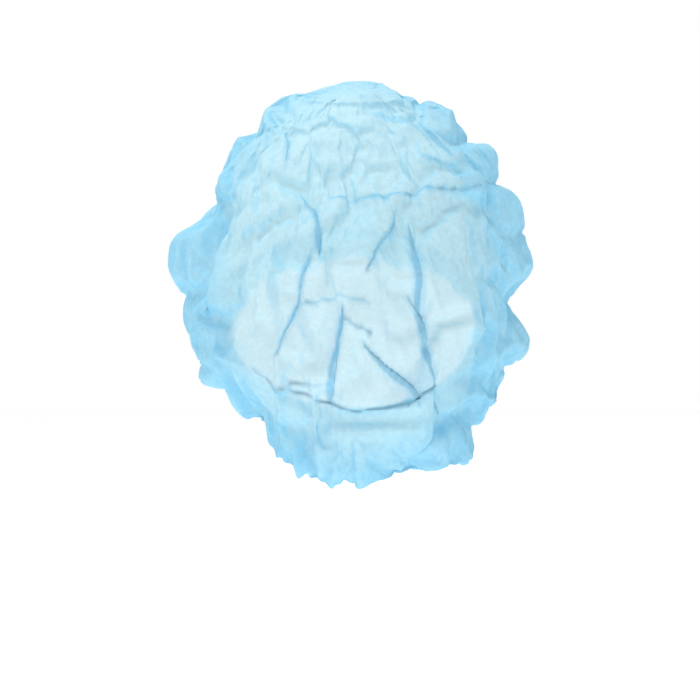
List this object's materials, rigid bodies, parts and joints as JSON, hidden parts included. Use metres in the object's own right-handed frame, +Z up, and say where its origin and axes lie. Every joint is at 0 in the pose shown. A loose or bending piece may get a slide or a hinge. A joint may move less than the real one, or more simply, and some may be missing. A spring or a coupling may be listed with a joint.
{
  "type": "disposable bouffant hair cap",
  "caption": "Puffed disposable hairnet: a round sheet of thin pale blue non-woven cloth, gathered on an elastic loop that grips the head from nape to forehead.",
  "frame": {"origin": "centre of the elastic loop, where the head goes in", "axes": "+Z up as worn, +Y the way the wearer faces, +X the wearer's right; the picture looks along +Y"},
  "size_m": [0.2197, 0.2448, 0.234],
  "materials": {
    "cloth": "matte, thin, see-through spunbond fibres",
    "elastic": "matte, thread-covered"
  },
  "bodies": {
    "root": {"crown": "cloth", "elastic_band": "elastic"}
  },
  "joints": []
}
